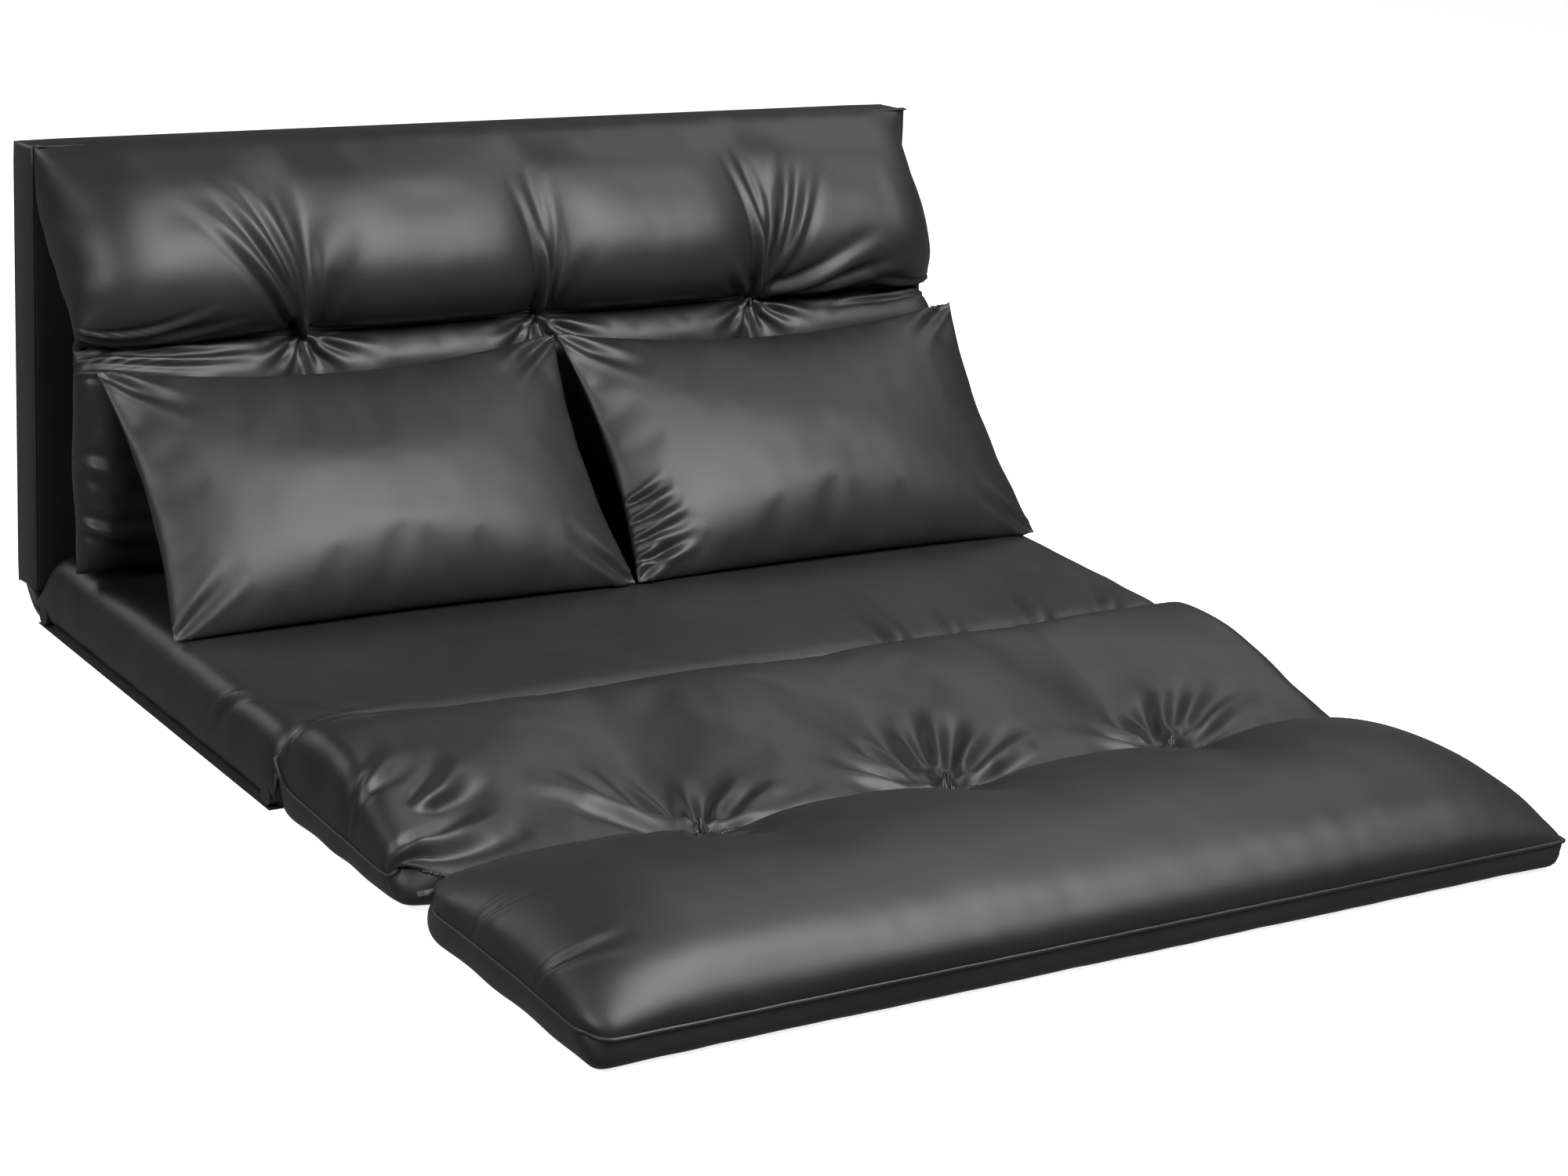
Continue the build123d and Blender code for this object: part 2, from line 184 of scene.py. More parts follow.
def leatherette():
    """Black coated cloth: fine pebble grain, soft mottling, and a slight bloom where it is worn."""
    found = bpy.data.materials.get("black_leatherette_skin")
    if found:
        return found
    props = leather_props()
    material, tree, shader, add = new_material("black_leatherette_skin")
    link = tree.links.new
    place = add("ShaderNodeTexCoord")
    pebbles = add("ShaderNodeTexVoronoi", feature="DISTANCE_TO_EDGE", Scale=1 / props.grain_size)
    pores = add("ShaderNodeTexNoise", Scale=2.2 / props.grain_size, Detail=3.0, Roughness=0.6)
    stretch = add("ShaderNodeTexNoise", Scale=42.0, Detail=4.0, Roughness=0.55)
    mottle = add("ShaderNodeTexNoise", Scale=5.0, Detail=3.0, Roughness=0.6)
    for texture in (pebbles, pores, stretch, mottle):
        link(place.outputs["Object"], texture.inputs["Vector"])
    groove = add("ShaderNodeMapRange")
    groove.inputs["From Max"].default_value = 0.14
    link(pebbles.outputs["Distance"], groove.inputs["Value"])
    height = add("ShaderNodeMath", operation="MULTIPLY_ADD")
    height.inputs[1].default_value = 0.45
    link(pores.outputs["Fac"], height.inputs[0])
    link(groove.outputs["Result"], height.inputs[2])
    grain = add("ShaderNodeBump", Strength=0.55)
    grain.inputs["Distance"].default_value = props.grain_depth
    link(height.outputs["Value"], grain.inputs["Height"])
    slack = add("ShaderNodeBump", Strength=0.25)
    slack.inputs["Distance"].default_value = 0.9 * MM
    link(stretch.outputs["Fac"], slack.inputs["Height"])
    link(grain.outputs["Normal"], slack.inputs["Normal"])
    link(slack.outputs["Normal"], shader.inputs["Normal"])
    tone = add("ShaderNodeValToRGB")
    low, high = tone.color_ramp.elements
    low.position, high.position = 0.3, 0.72
    low.color = [c * 0.8 for c in props.colour] + [1]
    high.color = [c * 1.45 for c in props.colour] + [1]
    link(mottle.outputs["Fac"], tone.inputs["Fac"])
    worn = add("ShaderNodeMapRange")
    worn.inputs["From Min"].default_value = 0.52
    worn.inputs["From Max"].default_value = 0.6
    worn.inputs["To Max"].default_value = 0.35
    edges = add("ShaderNodeNewGeometry")
    link(edges.outputs["Pointiness"], worn.inputs["Value"])
    rub = add("ShaderNodeMix", data_type="RGBA")
    rub.inputs[7].default_value = [c * 3.0 for c in props.colour] + [1]
    link(worn.outputs["Result"], rub.inputs[0])
    link(tone.outputs["Color"], rub.inputs[6])
    link(rub.outputs[2], shader.inputs["Base Color"])
    sheen = add("ShaderNodeMapRange")
    sheen.inputs["To Min"].default_value = props.roughness - 0.04
    sheen.inputs["To Max"].default_value = props.roughness + 0.07
    link(mottle.outputs["Fac"], sheen.inputs["Value"])
    link(sheen.outputs["Result"], shader.inputs["Roughness"])
    shader.inputs["Specular IOR Level"].default_value = 0.5
    return material


def base_cloth_material():
    """Thin black spun-bonded cloth with its dimpled bond points."""
    material, tree, shader, add = new_material("spun_bonded_base_cloth")
    link = tree.links.new
    place = add("ShaderNodeTexCoord")
    dots = add("ShaderNodeTexVoronoi", feature="F1", Scale=420.0, Randomness=0.1)
    fibres = add("ShaderNodeTexNoise", Scale=900.0, Detail=4.0)
    link(place.outputs["Object"], dots.inputs["Vector"])
    link(place.outputs["Object"], fibres.inputs["Vector"])
    bump = add("ShaderNodeBump", Strength=0.5)
    bump.inputs["Distance"].default_value = 0.15 * MM
    link(dots.outputs["Distance"], bump.inputs["Height"])
    link(bump.outputs["Normal"], shader.inputs["Normal"])
    tone = add("ShaderNodeValToRGB")
    tone.color_ramp.elements[0].color = (0.012, 0.012, 0.013, 1)
    tone.color_ramp.elements[1].color = (0.035, 0.035, 0.037, 1)
    link(fibres.outputs["Fac"], tone.inputs["Fac"])
    link(tone.outputs["Color"], shader.inputs["Base Color"])
    shader.inputs["Roughness"].default_value = 0.9
    return material


def plain_fibre_material(name, dark, light, scale, roughness):
    """Foam, stuffing, webbing or cord: a fibrous or cellular surface between two tones."""
    material, tree, shader, add = new_material(name)
    link = tree.links.new
    place = add("ShaderNodeTexCoord")
    cells = add("ShaderNodeTexVoronoi", feature="F1", Scale=scale)
    cloud = add("ShaderNodeTexNoise", Scale=scale / 6, Detail=5.0)
    link(place.outputs["Object"], cells.inputs["Vector"])
    link(place.outputs["Object"], cloud.inputs["Vector"])
    tone = add("ShaderNodeValToRGB")
    tone.color_ramp.elements[0].color = (*dark, 1)
    tone.color_ramp.elements[1].color = (*light, 1)
    link(cloud.outputs["Fac"], tone.inputs["Fac"])
    link(tone.outputs["Color"], shader.inputs["Base Color"])
    bump = add("ShaderNodeBump", Strength=0.6)
    bump.inputs["Distance"].default_value = 0.4 * MM
    link(cells.outputs["Distance"], bump.inputs["Height"])
    link(bump.outputs["Normal"], shader.inputs["Normal"])
    shader.inputs["Roughness"].default_value = roughness
    return material


def steel_material(name, dark, light, metallic, roughness):
    """Steel, bare or powder coated, with fine mill lines and a mottled tone."""
    material, tree, shader, add = new_material(name)
    link = tree.links.new
    place = add("ShaderNodeTexCoord")
    lines = add("ShaderNodeTexNoise", Scale=300.0, Detail=3.0)
    cloud = add("ShaderNodeTexNoise", Scale=30.0, Detail=4.0)
    link(place.outputs["Object"], lines.inputs["Vector"])
    link(place.outputs["Object"], cloud.inputs["Vector"])
    tone = add("ShaderNodeValToRGB")
    tone.color_ramp.elements[0].color = (*dark, 1)
    tone.color_ramp.elements[1].color = (*light, 1)
    link(cloud.outputs["Fac"], tone.inputs["Fac"])
    link(tone.outputs["Color"], shader.inputs["Base Color"])
    bump = add("ShaderNodeBump", Strength=0.3)
    bump.inputs["Distance"].default_value = 0.05 * MM
    link(lines.outputs["Fac"], bump.inputs["Height"])
    link(bump.outputs["Normal"], shader.inputs["Normal"])
    shader.inputs["Metallic"].default_value = metallic
    shader.inputs["Roughness"].default_value = roughness
    return material


# Cushions


def skin_line(points, along):
    """Places at a share of the length of a smooth line through points in Y and Z."""
    p = np.array([points[0], *points, points[-1]], float) * MM
    t = np.linspace(0, 1, 16, endpoint=False)[:, None]
    runs = []
    for a, b, c, d in zip(p, p[1:], p[2:], p[3:]):
        turn = (2 * a - 5 * b + 4 * c - d) * t**2
        twist = (3 * b - a - 3 * c + d) * t**3
        runs.append((2 * b + (c - a) * t + turn + twist) / 2)
    line = np.vstack([*runs, p[-1:]])
    reach = np.concatenate([[0], np.cumsum(np.linalg.norm(np.diff(line, axis=0), axis=1))])
    where = along * reach[-1]
    return np.interp(where, reach, line[:, 0]), np.interp(where, reach, line[:, 1]), reach[-1]


def shoulder(distance, radius, fullness=2.0):
    """How far a skin has risen from a seam, from 0 on the seam to 1 past the radius."""
    d = np.clip(distance / radius, 0, 1)
    return (1 - (1 - d) ** fullness) ** (1 / fullness)


def sewn_panels(name, columns, rows):
    """Two panels sewn round their edge, with their own coordinates kept on every vertex."""
    bm = bmesh.new()
    bmesh.ops.create_grid(bm, x_segments=columns, y_segments=rows, size=1.0)
    bmesh.ops.solidify(bm, geom=bm.faces[:], thickness=0.1)
    across = bm.verts.layers.float.new("across")
    along = bm.verts.layers.float.new("along")
    face = bm.verts.layers.float.new("outer")
    middle = sum(v.co.z for v in bm.verts) / len(bm.verts)
    for v in bm.verts:
        v[across] = v.co.x
        v[along] = (1 - v.co.y) / 2
        v[face] = 1.0 if v.co.z > middle else 0.0
    mesh = bpy.data.meshes.new(name)
    bm.to_mesh(mesh)
    bm.free()
    piece = bpy.data.objects.new(name, mesh)
    bpy.context.scene.collection.objects.link(piece)
    return piece


def values(mesh, name):
    out = np.zeros(len(mesh.vertices), np.float32)
    mesh.attributes[name].data.foreach_get("value", out)
    return out.astype(float)


def places(mesh):
    co = np.zeros(len(mesh.vertices) * 3, np.float32)
    mesh.vertices.foreach_get("co", co)
    return co.reshape(-1, 3).astype(float)


def normals(mesh):
    out = np.zeros(len(mesh.vertices) * 3, np.float32)
    mesh.vertices.foreach_get("normal", out)
    return out.reshape(-1, 3).astype(float)


def set_places(mesh, co):
    mesh.vertices.foreach_set("co", co.astype(np.float32).ravel())
    mesh.update()


def sew_shut(mesh):
    """Joins the two panels along their seam, in a fixed order, and turns every face outwards."""
    bm = bmesh.new()
    bm.from_mesh(mesh)
    bmesh.ops.remove_doubles(bm, verts=bm.verts[:], dist=0.01 * MM)
    across, along, outer = (bm.verts.layers.float[name] for name in ("across", "along", "outer"))
    bm.verts.sort(key=lambda v: (2 * v[outer] + v[along]) * 1000 + v[across])
    bm.verts.index_update()
    count = len(bm.verts)

    def place_in_order(part):
        corners = [v.index for v in part.verts]
        return min(corners) * count + max(corners) + sum(corners) / (8 * count)

    bm.edges.sort(key=place_in_order)
    bm.faces.sort(key=place_in_order)
    bmesh.ops.recalc_face_normals(bm, faces=bm.faces[:])
    if bm.calc_volume(signed=True) < 0:
        bmesh.ops.reverse_faces(bm, faces=bm.faces[:])
    bm.to_mesh(mesh)
    bm.free()


def apply_modifiers(piece):
    """Keeps the shape that the piece's modifiers give it."""
    graph = bpy.context.evaluated_depsgraph_get()
    shaped = piece.evaluated_get(graph)
    mesh = bpy.data.meshes.new_from_object(shaped, preserve_all_data_layers=True, depsgraph=graph)
    piece.modifiers.clear()
    old = piece.data
    piece.data = mesh
    bpy.data.meshes.remove(old)


def subdivide(piece):
    smooth = piece.modifiers.new("Round", "SUBSURF")
    smooth.levels = smooth.render_levels = 1
    apply_modifiers(piece)


def pressed_out(piece, held, pressure, growth, cap, frames=16):
    """Lets the stuffing press the skin out by cloth simulation. The thread holds some vertices.

    A pressure below 0 lets slack skin settle onto the stuffing instead.
    """
    before = places(piece.data)
    group = piece.vertex_groups.new(name="held")
    group.add([int(i) for i in np.nonzero(held)[0]], 1.0, "REPLACE")
    cloth = piece.modifiers.new("Cloth", "CLOTH")
    settings = cloth.settings
    settings.quality = 4
    settings.use_pressure = True
    settings.uniform_pressure_force = pressure
    settings.effector_weights.gravity = 0
    settings.vertex_group_mass = "held"
    settings.shrink_min = growth
    settings.tension_stiffness = CLOTH_TENSION
    settings.compression_stiffness = CLOTH_TENSION
    settings.shear_stiffness = CLOTH_SHEAR
    settings.bending_stiffness = CLOTH_BENDING
    cloth.point_cache.frame_start = 1
    cloth.point_cache.frame_end = frames
    for step in range(1, frames + 1):
        bpy.context.scene.frame_set(step)
    apply_modifiers(piece)
    bpy.context.scene.frame_set(1)
    move = places(piece.data) - before
    far = np.linalg.norm(move, axis=1, keepdims=True)
    soft = cap * np.tanh(SHARE_OF_MOVE * far / cap) / np.maximum(far, 1e-9)
    set_places(piece.data, before + move * soft)
    piece.vertex_groups.clear()


def rested(mesh):
    """Flattens the underside where the cushion lies on the floor."""
    co = places(mesh)
    co[:, 2] = np.maximum(co[:, 2], FLOOR_GAP)
    set_places(mesh, co)


def ruffled(mesh, length, half_width, seed, depth=1.0):
    """Low waves of loose skin, and small puckers where the thread gathers it along the seams."""
    co, out = places(mesh), normals(mesh)
    x = values(mesh, "across") * half_width
    s = values(mesh, "along") * length
    side = np.minimum(half_width - np.abs(x), 0.2)
    seam = np.minimum(s, length - s)

    def cloud(across, down, start):
        return np.array([noise.noise(Vector((a * across, b * down, start))) for a, b in zip(x, s)])

    waves = cloud(9, 14, seed) * 1.2 + cloud(34, 22, seed + 5) * 0.45
    wander = cloud(6, 6, seed + 9)
    side_pitch, side_reach, seam_pitch, seam_reach = 0.0125, 0.016, 0.0105, 0.014
    flat_at_thread, wave_fade = 0.006, 0.012
    along_side = np.sin(s / side_pitch + 5 * wander) * np.exp(-side / side_reach)
    along_side *= np.clip(side / flat_at_thread, 0, 1)
    along_seam = np.sin(x / seam_pitch + 6 * wander) * np.exp(-seam / seam_reach)
    along_seam *= np.clip(seam / flat_at_thread, 0, 1)
    fade = np.clip(np.minimum(side, seam) / wave_fade, 0, 1)
    rise = waves * fade + 1.3 * along_side + 0.8 * along_seam
    set_places(mesh, co + out * (rise * depth * MM)[:, None])


def crease(mesh, folds, length, half_width, raised=False):
    """Presses creases into the outer panel.

    Each has a start, an end, a width, a depth and a bow, in millimetres. Places are given across
    from the middle and down from the first seam. A crease is a valley between two low banks, or a
    raised fold between two shallow grooves.
    """
    co, out = places(mesh), normals(mesh)
    x = values(mesh, "across") * half_width
    s = values(mesh, "along") * length
    push = np.zeros(len(co))
    for start, end, width, depth, bow in folds:
        a, b = np.array(start) * MM, np.array(end) * MM
        size = np.linalg.norm(b - a)
        run = (b - a) / size
        t = ((x - a[0]) * run[0] + (s - a[1]) * run[1]) / size
        d = (x - a[0]) * -run[1] + (s - a[1]) * run[0] - bow * MM * 4 * t * (1 - t)
        w = width * MM * (0.4 + 0.6 * np.clip(t, 0, 1))
        fade_in = np.clip((t + 0.05) / 0.2, 0, 1)
        fade_out = np.clip((1.02 - t) / 0.6, 0, 1) ** 1.1
        valley = np.exp(-((d / w) ** 2))
        banks = np.exp(-(((np.abs(d) - 1.75 * w) / (0.85 * w)) ** 2))
        push -= depth * MM * fade_in * fade_out * (valley - 0.5 * banks)
    push *= (values(mesh, "outer") > 0.5) * cushion_props().crease_depth * (-1 if raised else 1)
    set_places(mesh, co + out * push[:, None])


def fan(tuft, seam, spokes, up=-1):
    """Creases that spread from a tuft on a seam.

    Each spoke is a reach sideways, a reach up, a width, a depth and a bow.
    """
    tuft = tuft / MM
    return [((tuft, seam), (tuft + side, seam + up * rise), width, depth, bow)
            for side, rise, width, depth, bow in spokes]


def wrapped(piece, body=None):
    """Gives a piece its skin and smooth shading, and the body it rides on if it has only one."""
    piece.data.materials.clear()
    piece.data.materials.append(leatherette())
    piece.data.polygons.foreach_set("use_smooth", [True] * len(piece.data.polygons))
    if body:
        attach(piece, body)
    return piece


def cushion(name, lines, anchor, ends, tufts=(), spread=0.04, corners=(0, 0), drawn=(0, 0), wider=0.0):
    """A stuffed cushion, with the length of its skin.

    lines hold its skin between tufts, its skin at the tufts, its underside and its side seam, all
    from the first seam to the last. ends are the rounding of the skin and of the underside at the
    sides. corners round the left corners at the first and last seams, drawn is how far their right
    ends are gathered in, and wider is how far each end stands past the width of the frame.
    """
    props = cushion_props()
    piece = sewn_panels(name, props.columns, props.rows)
    mesh = piece.data
    u, v, outer = values(mesh, "across"), values(mesh, "along"), values(mesh, "outer") > 0.5
    skin, pulled, under, seam = (skin_line(lines[key], v) for key in ("skin", "tufted", "under", "seam"))
    x = u * (HALF_WIDTH + wider * MM)
    gap = (1 - np.abs(u)) * HALF_WIDTH
    rise = np.where(outer, shoulder(gap, ends[0] * MM, 2.2), shoulder(gap, ends[1] * MM, 2.2))
    pull = near(x, tufts, spread)
    line = [skin[i] + (pulled[i] - skin[i]) * pull for i in (0, 1)]
    y = seam[0] + (np.where(outer, line[0], under[0]) - seam[0]) * rise
    z = seam[1] + (np.where(outer, line[1], under[1]) - seam[1]) * rise
    for corner, toward, last in ((corners[0], -1, 1 - v), (corners[1], 1, v)):
        if corner:
            reach = corner * MM
            left = (1 + u) * HALF_WIDTH
            y += toward * reach * (1 - shoulder(left, reach)) * np.clip((last - 0.7) / 0.3, 0, 1) ** 2
            x += np.clip((last - 0.8) / 0.2, 0, 1) ** 3 * np.clip(1 - left / reach, 0, 1) * 0.3 * reach
    gathered = drawn[0] + (drawn[1] - drawn[0]) * np.clip(2.4 * v, 0, 1)
    x -= gathered * MM * np.clip(u, 0, 1) ** 5
    set_places(mesh, np.column_stack([x, y + anchor[0], z + anchor[1]]))
    sew_shut(mesh)
    return piece, skin[2]


def near(x, centres, width):
    """1 at each centre, falling to 0 away from it."""
    return sum((np.exp(-np.abs((x - c) / width) ** 1.6) for c in centres), np.zeros_like(x))


def held_points(mesh, tufts=(), seam_side=1.0, rim=0.01):
    """The vertices that the thread holds: the seams round the edge, and a spot at each tuft."""
    u, v = values(mesh, "across"), values(mesh, "along")
    held = (np.abs(u) > 1 - rim / 2) | (v < rim) | (v > 1 - rim)
    for c in tufts:
        held |= (np.abs(u * HALF_WIDTH - c) < 12 * MM) & (np.abs(v - seam_side) < 0.07)
    return held


def swept_cord(name, line, radius, body, closed=True):
    """A round piping along a line of places."""
    curve = bpy.data.curves.new(name, "CURVE")
    curve.dimensions = "3D"
    curve.bevel_depth = radius
    curve.bevel_resolution = 3
    curve.use_fill_caps = True
    spline = curve.splines.new("POLY")
    spline.points.add(len(line) - 1)
    spline.points.foreach_set("co", np.column_stack([line, np.ones(len(line))]).ravel())
    spline.use_cyclic_u = closed
    carrier = bpy.data.objects.new(name + "_line", curve)
    bpy.context.scene.collection.objects.link(carrier)
    graph = bpy.context.evaluated_depsgraph_get()
    mesh = bpy.data.meshes.new_from_object(carrier.evaluated_get(graph), depsgraph=graph)
    bpy.data.objects.remove(carrier)
    bpy.data.curves.remove(curve)
    mesh.name = name
    piece = bpy.data.objects.new(name, mesh)
    bpy.context.scene.collection.objects.link(piece)
    return wrapped(piece, body)


def seam_loop(mesh, half_width, half_length):
    """The places of the seam round a pair of panels, in order."""
    u, v = values(mesh, "across"), values(mesh, "along") * 2 - 1
    rim = 0.9999
    edge = np.nonzero((np.abs(u) > rim) | (np.abs(v) > rim))[0]
    u, v = u[edge], v[edge]
    a, b = u * half_width, v * half_length
    half_way = 2 * (half_width + half_length)
    walk = np.where(v < -rim, a + half_width, 0)
    walk = np.where((u > rim) & (v >= -rim), 2 * half_width + b + half_length, walk)
    walk = np.where((v > rim) & (u < rim), half_way + half_width - a, walk)
    walk = np.where((u < -rim) & (np.abs(v) < rim), half_way + 2 * half_width + half_length - b, walk)
    return places(mesh)[edge[np.argsort(walk)]]


def piping(piece, length, body):
    """Piping sewn into the seam of a pair of panels."""
    line = seam_loop(piece.data, HALF_WIDTH, length / 2)
    return swept_cord(piece.name + "_piping", line, cushion_props().piping_radius, body)


def flap(name, line, bodies, anchor=(0, 0), insets=(3, 3), thickness=1.2):
    """A strip of skin across the width that crosses a joint from one body to another."""
    bm = bmesh.new()
    bmesh.ops.create_grid(bm, x_segments=90, y_segments=12, size=1.0)
    for v in bm.verts:
        y, z, _ = skin_line(line, np.array([(1 - v.co.y) / 2]))
        inset = insets[1] if v.co.x > 0 else insets[0]
        v.co = (v.co.x * (HALF_WIDTH - inset * MM), y[0] + anchor[0], z[0] + anchor[1])
    bmesh.ops.recalc_face_normals(bm, faces=bm.faces[:])
    bmesh.ops.solidify(bm, geom=bm.faces[:], thickness=thickness * MM)
    bmesh.ops.recalc_face_normals(bm, faces=bm.faces[:])
    mesh = bpy.data.meshes.new(name)
    bm.to_mesh(mesh)
    bm.free()
    piece = bpy.data.objects.new(name, mesh)
    bpy.context.scene.collection.objects.link(piece)
    wrapped(piece)
    first, last = (Vector((0, p[0] * MM + anchor[0], p[1] * MM + anchor[1])) for p in (line[0], line[-1]))
    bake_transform(piece, *bodies, start=tuple(first), end=tuple(last))
    return piece


class SOFA_OT_head_roll(bpy.types.Operator):
    """Builds the tufted roll along the top of the back pad"""

    bl_idname = "sofa.head_roll"
    bl_label = "Head Roll"

    def execute(self, context):
        lines = {
            "skin": [(0, 0), (-36, -4), (-82, -25), (-122, -62), (-148, -104), (-153, -144),
                     (-138, -172), (-112, -184)],
            "tufted": [(0, 0), (-32, -7), (-72, -32), (-106, -70), (-126, -108), (-130, -144),
                       (-122, -172), (-108, -183)],
            "under": [(0, 0), (-8, -50), (-25, -95), (-65, -142), (-112, -184)],
            "seam": [(0, 0), (-9, -62), (-58, -108), (-112, -160), (-112, -184)],
        }
        piece, length = cushion(
            "head_roll", lines, (FLIP.y, FLIP.z), (95, 30), HEAD_TUFTS, 0.038, drawn=(4, 30))
        pressed_out(piece, held_points(piece.data, HEAD_TUFTS), -1.6, 0.0, cushion_props().swell)
        ruffled(piece.data, length, HALF_WIDTH, 1.3, -1.0)
        subdivide(piece)
        left, middle, right = HEAD_TUFTS
        bottom = length / MM
        folds = [
            *fan(left, bottom, [(-132, 186, 10, 7, 5), (-98, 208, 9, 8, 4), (-62, 208, 9, 8, 2),
                                (-24, 150, 11, 6, 0), (22, 150, 15, 7, -3)]),
            *fan(middle, bottom, [(-22, 205, 9, 7, 3), (4, 190, 9, 7, 0), (34, 120, 12, 4, 0)]),
            *fan(right, bottom, [(-24, 222, 8, 8, 6), (2, 200, 8, 7, 3), (54, 205, 9, 8, -4),
                                 (84, 190, 9, 6, -4), (176, 84, 13, 9, -12), (228, 60, 10, 7, -6),
                                 (-60, 90, 12, 4, 0)]),
            ((-545, bottom - 18), (-360, bottom - 46), 6, 6, 6),
            ((-545, bottom - 30), (-400, bottom - 64), 6, 5, 6),
            ((-548, bottom - 6), (-350, bottom - 22), 5, 6, 5),
            ((548, bottom - 14), (400, bottom - 46), 7, 5, -6),
        ]
        crease(piece.data, folds, length, HALF_WIDTH, raised=True)
        wrapped(piece, "head_pad")
        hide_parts("head_cover", "head_filling", "head_tuft_ties")
        line = [(4, -8), (2, -1), (-6, -1)]
        flap("pad_top_flap", line, ("back", "head_pad"), (FLIP.y, FLIP.z))
        return {"FINISHED"}


class SOFA_OT_lumbar_pad(bpy.types.Operator):
    """Builds the lower section of the back pad, which hangs down to the seat"""

    bl_idname = "sofa.lumbar_pad"
    bl_label = "Lumbar Pad"

    def execute(self, context):
        lines = {
            "skin": [(0, -2), (-17, -6), (-35, -30), (-44, -80), (-50, -140), (-51, -190),
                     (-42, -224), (-24, -236)],
            "tufted": [(0, -2), (-6, -16), (-18, -44), (-34, -86), (-46, -140), (-51, -190),
                       (-42, -224), (-24, -236)],
            "under": [(0, -2), (3, -60), (2, -130), (-6, -205), (-24, -236)],
            "seam": [(0, -2), (-4, -24), (-10, -120), (-30, -200), (-24, -236)],
        }
        piece, length = cushion(
            "lumbar_pad", lines, (CREASE.y, CREASE.z), (45, 20), HEAD_TUFTS, 0.035, drawn=(38, 8))
        pressed_out(piece, held_points(piece.data, HEAD_TUFTS, 0.0), -2, -0.012, 12 * MM)
        ruffled(piece.data, length, HALF_WIDTH, 4.1, -1.0)
        subdivide(piece)
        folds = []
        for tuft in HEAD_TUFTS:
            folds += fan(tuft, 0, [(-70, 40, 8, 5, -3), (-34, 52, 7, 6, 0), (10, 62, 7, 5, 0),
                                   (44, 50, 7, 6, 0), (84, 34, 8, 5, 3)], up=1)
        folds += [
            ((-548, 6), (-340, 12), 5, 6, 4),
            ((-548, 18), (-350, 30), 5, 6, 5),
            ((-548, 32), (-400, 54), 6, 5, 4),
            ((548, 14), (330, 16), 5, 5, -3),
            ((-552, 196), (-440, 214), 13, 5, 4),
            ((-552, 128), (-450, 160), 15, 4, 4),
        ]
        crease(piece.data, folds, length, HALF_WIDTH, raised=True)
        wrapped(piece, "lumbar_pad")
        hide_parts("lumbar_cover", "lumbar_filling")
        line = [(-2, 6), (1, 0), (0, -8)]
        flap("crease_flap", line, ("head_pad", "lumbar_pad"), (CREASE.y, CREASE.z), (3, 36))
        return {"FINISHED"}


class SOFA_OT_seat(bpy.types.Operator):
    """Builds the flat boxed seat cushion"""

    bl_idname = "sofa.seat"
    bl_label = "Seat"

    def execute(self, context):
        back, front, top = SEAT_HIGH.y / MM, SEAT_LOW.y / MM, SEAT_HIGH.z / MM
        skin = [
            (back, 12), (back, top - 30), (back - 4, top - 12), (back - 16, top - 2), (back - 36, top),
            (back - 64, top), (back - 130, top), (0, top + 1), (front + 130, top), (front + 58, top),
            (front + 26, top), (front + 10, top - 2), (front + 2, top - 11), (front, top - 30), (front, 12),
        ]
        lines = {
            "skin": skin,
            "tufted": skin,
            "under": [(back, 12), (back - 4, 2), (back - 20, 1.2), (0, 1.2), (front + 20, 1.2),
                      (front + 4, 2), (front, 12)],
            "seam": [(back, 12), (back - 30, 22), (front + 30, 22), (front, 12)],
        }
        piece, length = cushion("seat_cushion", lines, (0, 0), (32, 26))
        ruffled(piece.data, length, HALF_WIDTH, 7.7, -0.7)
        subdivide(piece)
        folds = [
            ((-548, 470), (-440, 560), 10, 4, 6),
            ((-520, 590), (-380, 575), 8, 4, -3),
            ((150, 700), (206, 440), 19, 5, 5),
            ((215, 680), (290, 480), 15, 3, 4),
            ((310, 700), (430, 430), 18, 4, 8),
            ((400, 680), (530, 470), 15, 4, 8),
        ]
        crease(piece.data, folds, length, HALF_WIDTH, raised=True)
        rested(piece.data)
        wrapped(piece, "seat")
        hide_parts("seat_cover", "seat_foam")
        return {"FINISHED"}


